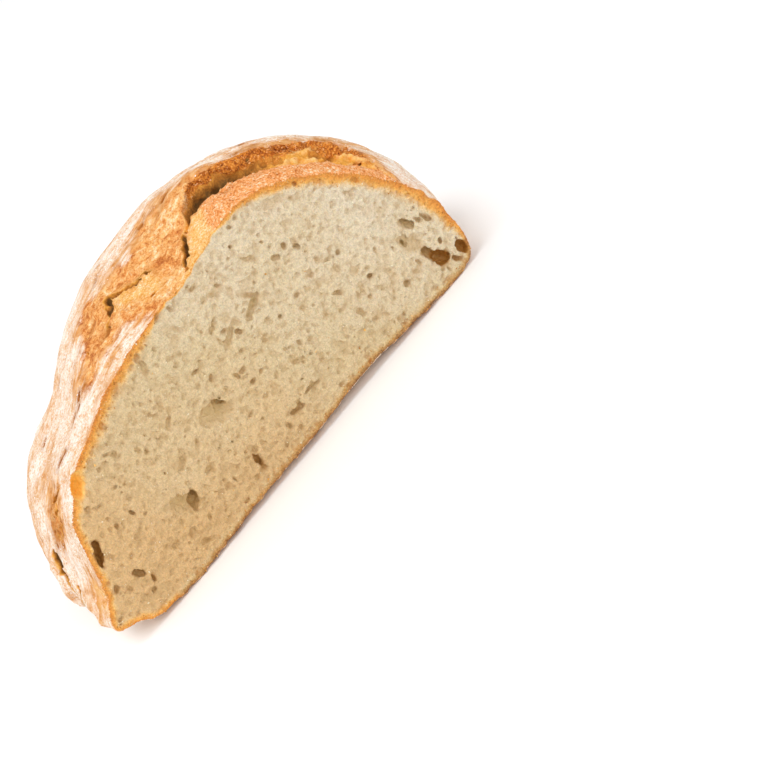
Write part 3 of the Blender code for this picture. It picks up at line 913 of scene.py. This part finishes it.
def paint(tree, colour, relief=None, height=0.0):
    """Gives the shader its colour and a fine relief of a height in metres."""
    shader = tree.nodes["Principled BSDF"]
    tree.links.new(next(output for output in colour if output.enabled), shader.inputs["Base Color"])
    if relief:
        bump = add(tree, "ShaderNodeBump", {"Height": relief, "Strength": 0.8, "Distance": height})
        tree.links.new(bump[0], shader.inputs["Normal"])


# %% [markdown]
# ### Crust
#
# The crust carries several looks at once: flour, bare tan dough, the torn and the pale torn dough,
# the orange lip, the walls of the burst and the dark ear. The walls of the burst and of its slots are
# golden torn crust with painted shade that grows darker with depth. They are laid over each other
# like coats of paint, each with a share that says where it shows. Borders are ragged, so each share
# is disturbed by noise first.

# %% Crust material
UNDER, OVER = 6, 7  # a Mix node's two colour inputs
# sizes of the noises in millimetres; streaks and creases are long along the loaf and narrow
GRAIN, CLUMP, PATCH, CRINKLE = 0.9, 4, 20, 2.4
STREAK, CREASE = (1 / 24, 1 / 3.2, 0), (1 / 13, 1 / 1.5, 0)
CRUST_TONES = {
    "flour": ((0.3, "#dfa672"), (0.46, "#efcdac"), (0.62, "#fdf1e5")),
    "bare": ((0.3, "#b9763a"), (0.45, "#d9934e"), (0.6, "#e9ad6e"), (0.75, "#f2c793")),
    "torn": ((0.24, "#b2622a"), (0.38, "#dc8e48"), (0.5, "#ecaa63"), (0.62, "#f5c07e"), (0.76, "#fddfb0")),
    "pale": ((0.3, "#dd9a44"), (0.42, "#eeb463"), (0.56, "#f8c985"), (0.68, "#fde6bd")),
    "lip": ((0.28, "#c66e30"), (0.42, "#ea9650"), (0.56, "#f5b174"), (0.72, "#fce3c0")),
    # walls of the burst and slots: golden torn crust, painted darker with depth as painted shade
    "wall": ((0.0, "#fbcd85"), (0.25, "#eaa545"), (0.52, "#bb7a30"), (0.85, "#735024")),
    "ear": ((0.3, "#7c3c0e"), (0.45, "#b86622"), (0.6, "#e08d34"), (0.75, "#f5b766")),
}
CRINKLE_TONES = {"torn": "#c06a28", "pale": "#dc8f3c"}
SCORCHED_TONE = "#b06c2c"


def crust_material():
    """Baked wheat crust: matt, dusted with flour, bare and tan where it tore, orange on the lip."""
    material, tree, at = new_material("baked_wheat_crust", {
        "Roughness": 0.85, "Specular IOR Level": 0.25, "Subsurface Weight": 0.1,
        "Subsurface Radius": (1.0, 0.55, 0.25), "Subsurface Scale": 0.0012})
    skin = {name: add(tree, "ShaderNodeAttribute", attribute_name=name)["Fac"] for name in (
        "along", "behind", "torn_border", "lip_border", "pale_border", "base", "wall_depth", "tear",
        "ear", "scorched")}
    grain, clump, patch, crinkle = (
        add(tree, "ShaderNodeTexNoise",
            {"Vector": at, "Scale": 1 / (size * MM), "Detail": detail, "Distortion": bend})
        for size, detail, bend in ((GRAIN, 3, 0), (CLUMP, 4, 0.6), (PATCH, 3, 0), (CRINKLE, 3, 0.8)))
    map_place = add(tree, "ShaderNodeCombineXYZ", (skin["along"], skin["behind"], 0.0))
    streak, crease = (
        add(tree, "ShaderNodeTexNoise", {
            "Vector": add(tree, "ShaderNodeMapping", {"Vector": map_place, "Scale": closeness}),
            "Scale": 1.0, "Detail": detail, "Distortion": bend})
        for closeness, detail, bend in ((STREAK, 5, 1.4), (CREASE, 3, 0.8)))

    # The tones vary with the grain and with larger clumps, each look in its own measure.
    speckled = swayed(tree, grain, clump, 0.5)
    softened = add(tree, "ShaderNodeMath", (grain, 0.75, 0.125), operation="MULTIPLY_ADD")
    # the deeper on a wall, the darker its colour: painted shade
    wall = add(tree, "ShaderNodeMapRange", (skin["wall_depth"], 0.0, 9.5))
    led_by = {
        "flour": swayed(tree, swayed(tree, grain, clump, 0.6), patch, -0.5),
        "bare": clump,
        "torn": swayed(tree, swayed(tree, softened, clump, 1.1), patch, 0.6),
        "pale": speckled,
        "lip": speckled,
        "wall": swayed(tree, swayed(tree, wall, grain, 0.5), clump, 0.8),
        "ear": speckled,
    }
    tones = {name: add(tree, "ShaderNodeValToRGB", (led_by[name],), stops)
             for name, stops in CRUST_TONES.items()}
    crinkle = add(tree, "ShaderNodeMath", (crinkle, 0.5), operation="SUBTRACT")
    crinkle = add(tree, "ShaderNodeMath", (crinkle,), operation="ABSOLUTE")
    crinkle = add(tree, "ShaderNodeMapRange", (crinkle, 0.045, 0.0, 0.0, 0.6))
    for name, dark in CRINKLE_TONES.items():
        tones[name] = add(tree, "ShaderNodeMix", {"Factor": crinkle, UNDER: tones[name], OVER: dark},
                          data_type="RGBA")

    # Flour is rubbed off in streaks and patches, near the torn zone, low at the back and on the base.
    near_end = add(tree, "ShaderNodeMapRange", (skin["behind"], 80.0, 112.0))
    streaky = add(tree, "ShaderNodeMath", (near_end, -1.2, 1.3), operation="MULTIPLY_ADD")
    patchy = add(tree, "ShaderNodeMath", (near_end, 1.2, 1.0), operation="MULTIPLY_ADD")
    height = add(tree, "ShaderNodeSeparateXYZ", (at,))[2]
    low = add(tree, "ShaderNodeMapRange", (height, 0.062, 0.008))
    far = add(tree, "ShaderNodeMapRange", (skin["behind"], 30.0, 62.0))
    low_back = add(tree, "ShaderNodeMath", (low, far), operation="MULTIPLY")
    near_torn = add(tree, "ShaderNodeMapRange", (skin["torn_border"], 16.0, 0.0, 0.0, 0.4))
    bareness = swayed(tree, swayed(tree, 0.0, streak, streaky), patch, patchy)
    bareness = add(tree, "ShaderNodeMath", (low_back, 0.42, bareness), operation="MULTIPLY_ADD")
    bareness = swayed(tree, bareness, grain, 0.9)
    bareness = add(tree, "ShaderNodeMath", (bareness, near_torn), operation="ADD")
    bareness = add(tree, "ShaderNodeMapRange", (bareness, 0.12, 0.42))
    crease = add(tree, "ShaderNodeMapRange", (crease, 0.54, 0.68, 0.0, 0.42))
    before_end = add(tree, "ShaderNodeMath", (1.0, near_end), operation="SUBTRACT")
    crease = add(tree, "ShaderNodeMath", (crease, before_end), operation="MULTIPLY")
    on_base = add(tree, "ShaderNodeMath", (skin["base"], 0.75), operation="MULTIPLY")
    for other in (crease, on_base):
        bareness = add(tree, "ShaderNodeMath", (bareness, other), operation="MAXIMUM")
    coats = [(bareness, tones["bare"])]

    # Torn, pale and lip dough end at frayed borders; the fray is in millimetres.
    fray = swayed(tree, swayed(tree, 0.0, clump, 10.0), grain, 8.0)
    for name, width, reach in (("torn", 2.0, 1.0), ("pale", 3.5, 1.0), ("lip", 0.8, 0.35)):
        frayed = add(tree, "ShaderNodeMath", (fray, reach, skin[name + "_border"]), operation="MULTIPLY_ADD")
        coats.append((add(tree, "ShaderNodeMapRange", (frayed, width, -width)), tones[name]))
    ear = swayed(tree, swayed(tree, skin["ear"], grain, 0.8), clump, 1.8)
    ear = add(tree, "ShaderNodeMapRange", (ear, 0.25, 0.65))
    on_ear = add(tree, "ShaderNodeMath", (skin["ear"], 0.02), operation="GREATER_THAN")
    ear = add(tree, "ShaderNodeMath", (ear, on_ear), operation="MULTIPLY")
    # the walls of the burst carry their baked gold and painted shade that deepens with depth
    coats += [(skin["tear"], tones["wall"]), (ear, tones["ear"]), (skin["scorched"], SCORCHED_TONE)]

    colour = tones["flour"]
    for share, coat in coats:
        colour = add(tree, "ShaderNodeMix", {"Factor": share, UNDER: colour, OVER: coat}, data_type="RGBA")
    relief = add(tree, "ShaderNodeMath", (clump, 0.6, grain), operation="MULTIPLY_ADD")
    paint(tree, colour, relief, 0.0008)
    return material


# %% [markdown]
# ### Crumb
#
# The crumb is pale and slightly translucent, and it turns golden and then brown in the last few
# millimetres under the crust. Pores and pits are painted darker and warmer the deeper they go: painted
# shade. The crumb is a little paler towards the heel and towards the top.

# %% Crumb material
WIDE_PATCH, FINE, CELL = 45, 0.5, 1.6
CRUMB_TONES = {
    "cream": ((0.0, "#d9b37e"), (0.45, "#d9c39a"), (0.9, "#e2d3b8")),
    "rim": ((0.0, "#cf7f2c"), (0.3, "#e69c40"), (0.6, "#efb862"), (1.0, "#e9cc98")),
    "base_rim": ((0.0, "#74491f"), (0.16, "#a0703a"), (0.42, "#c69d60"), (0.8, "#dac394")),
}
# tones of pits and of pore walls, each in the rim and in the crumb: painted shade
PIT_SHADE_TONES, PORE_SHADE_TONES = ("#cf8636", "#c6a472"), ("#f0ae48", "#c2a468")
# brown inside pores, partly crust colour and partly painted shade; golden pores get a deeper gold with
# depth, as painted shade
BROWN_PORE_AND_SHADE, GOLDEN_PORE, GOLDEN_PORE_SHADE = "#a56d24", "#fbd07c", "#f0a63a"


def crumb_material():
    """Baked wheat crumb: a soft cream sponge that browns towards the crust."""
    material, tree, at = new_material("baked_wheat_crumb", {
        "Roughness": 0.55, "Specular IOR Level": 0.4, "Subsurface Weight": 0.35,
        "Subsurface Radius": (1.0, 0.7, 0.4), "Subsurface Scale": 0.002})
    skin = {name: add(tree, "ShaderNodeAttribute", attribute_name=name)["Fac"] for name in (
        "behind", "baked", "floor_side", "pore_depth", "pore_tone")}
    grain, clump, patch, fine = (
        add(tree, "ShaderNodeTexNoise", {"Vector": at, "Scale": 1 / (size * MM), "Detail": detail})
        for size, detail in ((GRAIN, 3), (CLUMP, 3), (WIDE_PATCH, 2), (FINE, 2)))
    cells = add(tree, "ShaderNodeTexVoronoi", {"Vector": at, "Scale": 1 / (CELL * MM), "Randomness": 1.0})
    across, _, up = add(tree, "ShaderNodeSeparateXYZ", (at,))
    warm = add(tree, "ShaderNodeMath", (across, 4.4, 0.2), operation="MULTIPLY_ADD")
    warm = add(tree, "ShaderNodeMath", (up, 5.0, warm), operation="MULTIPLY_ADD")
    baked = swayed(tree, swayed(tree, skin["baked"], clump, 0.7), grain, 0.5)
    led_by = {"cream": swayed(tree, warm, patch, 0.6), "rim": baked, "base_rim": baked}
    tones = {name: add(tree, "ShaderNodeValToRGB", (led_by[name],), stops)
             for name, stops in CRUMB_TONES.items()}
    pale = add(tree, "ShaderNodeMapRange", (baked, 0.55, 1.15))
    speck = swayed(tree, swayed(tree, 1.0, grain, 0.6), fine, 0.55)

    # A pit is what the mesh has sunk, or the middle of a cell too small for the mesh; pits are painted
    # darker, as painted shade.
    sunk = add(tree, "ShaderNodeMapRange", (skin["behind"], -0.1, 1.3))
    middle = add(tree, "ShaderNodeMapRange", (cells, 0.42, 0.12))
    openness = add(tree, "ShaderNodeMapRange", (clump, 0.42, 0.62, 0.15, 0.6))
    middle = add(tree, "ShaderNodeMath", (middle, openness), operation="MULTIPLY")
    pit = add(tree, "ShaderNodeMath", (sunk, middle), operation="MAXIMUM")
    pit_shade_tone, pore_tone, golden = (
        add(tree, "ShaderNodeMix", {"Factor": share, UNDER: first, OVER: second}, data_type="RGBA")
        for share, (first, second) in (
            (pale, PIT_SHADE_TONES), (pale, PORE_SHADE_TONES), (skin["pore_depth"], (GOLDEN_PORE, GOLDEN_PORE_SHADE))))
    pit, in_pore_shade, is_golden = (
        add(tree, "ShaderNodeMath", (share, part), operation="MULTIPLY")
        for share, part in ((pit, 0.55), (skin["pore_depth"], 0.7), (skin["pore_tone"], -1.0)))

    # painted shade: pits and pore walls are mixed in darker with their depth
    colour = tones["rim"]
    for share, coat, way in (
            (skin["floor_side"], tones["base_rim"], "MIX"), (pale, tones["cream"], "MIX"),
            (1.0, speck, "MULTIPLY"), (pit, pit_shade_tone, "MIX"), (in_pore_shade, pore_tone, "MIX"),
            (skin["pore_tone"], BROWN_PORE_AND_SHADE, "MIX"), (is_golden, golden, "MIX")):
        colour = add(tree, "ShaderNodeMix", {"Factor": share, UNDER: colour, OVER: coat},
                     data_type="RGBA", blend_type=way)
    relief = add(tree, "ShaderNodeMath", (cells, 0.9, grain), operation="MULTIPLY_ADD")
    paint(tree, colour, relief, 0.0009)
    return material


# %% Dress the slabs
crumb, crust = crumb_material(), crust_material()
for slab_piece in slabs:
    slab_piece.data.materials.append(crumb)
    slab_piece.data.materials.append(crust)
    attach(slab_piece, "root")
    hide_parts("half_loaf")
for material in (crumb, crust):
    print(material.name, "has", len(material.node_tree.nodes), "nodes")

# %% [markdown]
# ## Crumbs, flour and bran
#
# A cut loaf sheds crumbs, baked crags break into brown grains, flour clings to the crust as little
# clumps, and flecks of bran show in the crumb. The loose crumbs on the cut are paler than the crumb,
# so that they also stand in for highlights: painted highlights. Each is one small grain that is
# repeated hundreds of times, so Geometry Nodes sets them: points are scattered where a share allows,
# a grain stands on each, turned and sized at random, and a little noise makes every one different.
# The result is kept as a plain mesh.

# %% A node tree that scatters grains
UNEVENNESS = 0.8


def scatter_tree():
    """Node group that sets small uneven grains on a surface, as densely as its share attribute says."""
    tree = bpy.data.node_groups.new("scattered_grains", "GeometryNodeTree")
    for name, kind in (("Geometry", "Geometry"), ("Density", "Float"), ("Smallest", "Float"),
                       ("Largest", "Float"), ("Flatness", "Float"), ("Seed", "Int"),
                       ("Material", "Material")):
        tree.interface.new_socket(name, in_out="INPUT", socket_type="NodeSocket" + kind)
    tree.interface.new_socket("Geometry", in_out="OUTPUT", socket_type="NodeSocketGeometry")
    given = add(tree, "NodeGroupInput")
    share = add(tree, "GeometryNodeInputNamedAttribute", {"Name": "share"}, data_type="FLOAT")
    density = add(tree, "ShaderNodeMath", (share, given["Density"]), operation="MULTIPLY")
    spots = add(tree, "GeometryNodeDistributePointsOnFaces",
                {"Mesh": given["Geometry"], "Density": density, "Seed": given["Seed"]})
    chance = add(tree, "FunctionNodeRandomValue", {2: 0.0, 3: 1.0, "Seed": given["Seed"]})
    few_large = add(tree, "ShaderNodeMath", (chance, 2.5), operation="POWER")
    size = add(tree, "ShaderNodeMapRange", {0: few_large, 3: given["Smallest"], 4: given["Largest"]})
    flat = add(tree, "ShaderNodeCombineXYZ", (1.0, 0.8, given["Flatness"]))
    scale = add(tree, "ShaderNodeVectorMath", {0: flat, "Scale": size}, operation="SCALE")
    turn = add(tree, "FunctionNodeRandomValue",
               {0: (-0.4, -0.4, 0.0), 1: (0.4, 0.4, 2 * math.pi), "Seed": given["Seed"]},
               data_type="FLOAT_VECTOR")
    turned = add(tree, "FunctionNodeRotateRotation", (spots["Rotation"], turn), rotation_space="LOCAL")
    grain = add(tree, "GeometryNodeMeshIcoSphere", {"Radius": 0.5, "Subdivisions": 1})
    placed = add(tree, "GeometryNodeInstanceOnPoints",
                 {"Points": spots["Points"], "Instance": grain, "Rotation": turned, "Scale": scale})
    joined = add(tree, "GeometryNodeRealizeInstances", (placed,))
    uneven = add(tree, "ShaderNodeTexNoise", {"Scale": 1 / (UNEVENNESS * MM), "Detail": 0.0})["Color"]
    push = add(tree, "ShaderNodeVectorMath", (uneven, (0.5, 0.5, 0.5)), operation="SUBTRACT")
    push = add(tree, "ShaderNodeVectorMath", {0: push, "Scale": given["Largest"]}, operation="SCALE")
    bent = add(tree, "GeometryNodeSetPosition", {"Geometry": joined, "Offset": push})
    dressed = add(tree, "GeometryNodeSetMaterial", {"Geometry": bent, "Material": given["Material"]})
    add(tree, "NodeGroupOutput", {"Geometry": dressed})
    return tree


def grain_material(name, spread, stops):
    """Matt grains of one kind of wheat product, each a little different in tone."""
    material, tree, at = new_material(name, {"Roughness": 0.75, "Specular IOR Level": 0.3})
    tone = add(tree, "ShaderNodeTexNoise", {"Vector": at, "Scale": 1 / (spread * MM), "Detail": 2.0})
    paint(tree, add(tree, "ShaderNodeValToRGB", (tone,), stops))
    return material


GRAINS = scatter_tree()


def scatter(name, chosen, share, density, sizes, flatness, seed, material):
    """A plain mesh piece of grains on the chosen quads of the skin; density is per square metre."""
    used, quads = np.unique(skin_quads[chosen], return_inverse=True)
    bed_mesh = bpy.data.meshes.new(name + "_bed")
    bed_mesh.from_pydata(((skin_points[used] + TO_FRAME) * MM).tolist(), [], quads.reshape(-1, 4).tolist())
    layer = bed_mesh.attributes.new("share", "FLOAT", "POINT")
    layer.data.foreach_set("value", share[used].astype(np.float32))
    bed = bpy.data.objects.new(name + "_bed", bed_mesh)
    bpy.context.scene.collection.objects.link(bed)
    modifier = bed.modifiers.new("grains", "NODES")
    modifier.node_group = GRAINS
    inputs = {"Density": float(density), "Smallest": sizes[0] * MM, "Largest": sizes[1] * MM,
              "Flatness": flatness, "Seed": seed, "Material": material}
    for socket in GRAINS.interface.items_tree:
        if socket.in_out == "INPUT" and socket.name in inputs:
            modifier[socket.identifier] = inputs[socket.name]
    evaluated = bed.evaluated_get(bpy.context.evaluated_depsgraph_get())
    mesh = bpy.data.meshes.new_from_object(evaluated)
    mesh.name = name
    bed.modifiers.clear()
    bpy.data.objects.remove(bed)
    bpy.data.meshes.remove(bed_mesh)
    piece = bpy.data.objects.new(name, mesh)
    bpy.context.scene.collection.objects.link(piece)
    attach(piece, "root")
    print(name, "has", len(mesh.polygons), "triangles")
    return piece


# %% Scatter the grains
quad_middle = skin_points[skin_quads].mean(1)
quad_depth = skin_depth[skin_quads].mean(1)
on_face = is_crumb & (quad_middle[:, 1] < 1.2)
on_crags = ~is_crumb & (quad_middle[:, 1] > 0.3) & (quad_middle[:, 2] > 1.5)
on_crust = ~is_crumb & (quad_middle[:, 1] > 0.5) & (quad_middle[:, 2] > 2.5) & (quad_depth < 1)
loose = 0.25 + 0.75 * ease(-0.2, 0.5, soft_noise(skin_points, 6, 63))
floury = ease(-1, 5, border) * (0.25 + 0.75 * ease(0.1, 0.5, soft_noise(skin_points, 7, 61)))
craggy = ease(2, -3, border) * (0.3 + 0.7 * ease(0, 0.4, soft_noise(skin_points, 5, 62)))
craggy = np.maximum(craggy * ease(2, -2, lip_border), 1.5 * ear) + 0.5 * ease(0.5, -0.5, lip_border)
on_rim = ease(1.1, 0.4, skin_depth / rim)
everywhere = np.ones(len(skin_points), np.float32)
# name, quads, share, number to a square metre, sizes in millimetres, flatness, material, size of
# its patches in millimetres and its tones
SCATTERED = (
    # loose crumbs, paler than the crumb, as painted highlights on the cut
    ("crumb_specks", on_face, loose, 70e3, (0.35, 0.9), 0.5, "baked_wheat_crumb_specks", 3,
     ((0.3, "#d9c08f"), (0.55, "#efe2c4"), (0.75, "#fbf3e0"))),
    ("crust_grains", on_crags, craggy, 350e3, (0.4, 1.3), 0.6, "baked_wheat_crust_grains", 1.6,
     ((0.3, "#a9602a"), (0.45, "#dc9048"), (0.6, "#f0b271"), (0.75, "#fbe0b8"))),
    ("rim_grains", on_face, on_rim, 350e3, (0.35, 1.0), 0.6, "baked_wheat_rim_grains", 1.6,
     ((0.3, "#a8682a"), (0.5, "#d09648"), (0.7, "#f0cd96"))),
    ("flour_clumps", on_crust, floury, 170e3, (0.25, 0.9), 0.35, "wheat_flour", 5,
     ((0.3, "#f6e6d8"), (0.7, "#fffaf4"))),
    ("bran_flecks", on_face, everywhere, 1.4e3, (0.5, 1.6), 0.3, "wheat_bran", 6,
     ((0.35, "#c98a3c"), (0.5, "#e3aa55"), (0.65, "#f0c478"))),
)
for seed, (name, chosen, share, density, sizes, flatness, *finish) in enumerate(SCATTERED, 1):
    scatter(name, chosen, share, density, sizes, flatness, seed, grain_material(*finish))

# %% [markdown]
# ## Floor, light and camera
#
# The loaf stands on a plain pale floor in soft studio light: one large lamp above it, which also
# models the crust, a broad weaker one from the front for the cut face, and a faint one behind.

# %% Floor
FLOOR_SIZE = 8.0
FLOOR_DROP = -0.0002


def floor_material():
    """Plain matt white floor."""
    return new_material("matt_white_floor", {
        "Base Color": linear("#fdfdfd"), "Roughness": 0.9, "Specular IOR Level": 0.1})[0]


half = FLOOR_SIZE / 2
floor_mesh = bpy.data.meshes.new("floor")
floor_mesh.from_pydata([(-half, -half, 0), (half, -half, 0), (half, half, 0), (-half, half, 0)], [],
                       [(0, 1, 2, 3)])
floor_mesh.materials.append(floor_material())
floor = bpy.data.objects.new("floor", floor_mesh)
floor.location.z = FLOOR_DROP
bpy.context.scene.collection.objects.link(floor)
print("floor:", FLOOR_SIZE, "m wide")

# %% Light
WORLD_LIGHT = 0.6
LAMPS = (
    ("key_lamp", (-1.2, -0.6, 3.4), 2.4, 60),
    ("front_lamp", (0.3, -3.6, 2.0), 2.4, 50),
    ("back_lamp", (-1.8, 2.4, 2.8), 2.6, 22),
)
world = bpy.data.worlds.new("soft_room")
world.use_nodes = True
world.node_tree.nodes["Background"].inputs["Color"].default_value = linear("#ffffff")
world.node_tree.nodes["Background"].inputs["Strength"].default_value = WORLD_LIGHT
bpy.context.scene.world = world
for name, spot, size, power in LAMPS:
    lamp = bpy.data.lights.new(name, "AREA")
    lamp.size = size
    lamp.energy = power
    lamp_object = bpy.data.objects.new(name, lamp)
    lamp_object.location = spot
    lamp_object.rotation_euler = (Vector((0, 0, 0.04)) - Vector(spot)).to_track_quat("-Z", "Y").to_euler()
    bpy.context.scene.collection.objects.link(lamp_object)
bpy.context.scene.view_settings.view_transform = "Standard"
print(len(LAMPS), "lamps with", sum(lamp[3] for lamp in LAMPS), "W in all")

# %% Camera
VIEW_AZIMUTH = math.radians(-16)
VIEW_ELEVATION = math.radians(26)
VIEW_ROLL = math.radians(-42.4)
VIEW_DISTANCE = 812.8 * MM
VIEW_TARGET = Vector((np.array([152.2, 0, -5.96]) + TO_FRAME) * MM)
LENS = 89.06
SENSOR = 36
back = Vector((math.sin(VIEW_AZIMUTH) * math.cos(VIEW_ELEVATION),
               -math.cos(VIEW_AZIMUTH) * math.cos(VIEW_ELEVATION), math.sin(VIEW_ELEVATION)))
level = (-back).cross(Vector((0, 0, 1))).normalized()
upright = level.cross(-back)
right = level * math.cos(VIEW_ROLL) + upright * math.sin(VIEW_ROLL)
up = upright * math.cos(VIEW_ROLL) - level * math.sin(VIEW_ROLL)
camera_data = bpy.data.cameras.new("view")
camera_data.lens = LENS
camera_data.sensor_width = SENSOR
camera = bpy.data.objects.new("view", camera_data)
turned = Matrix((right, up, back)).transposed().to_4x4()
turned.translation = VIEW_TARGET + back * VIEW_DISTANCE
camera.matrix_world = turned
bpy.context.scene.collection.objects.link(camera)
bpy.context.scene.camera = camera
print("camera:", VIEW_DISTANCE, "m from", tuple(VIEW_TARGET))
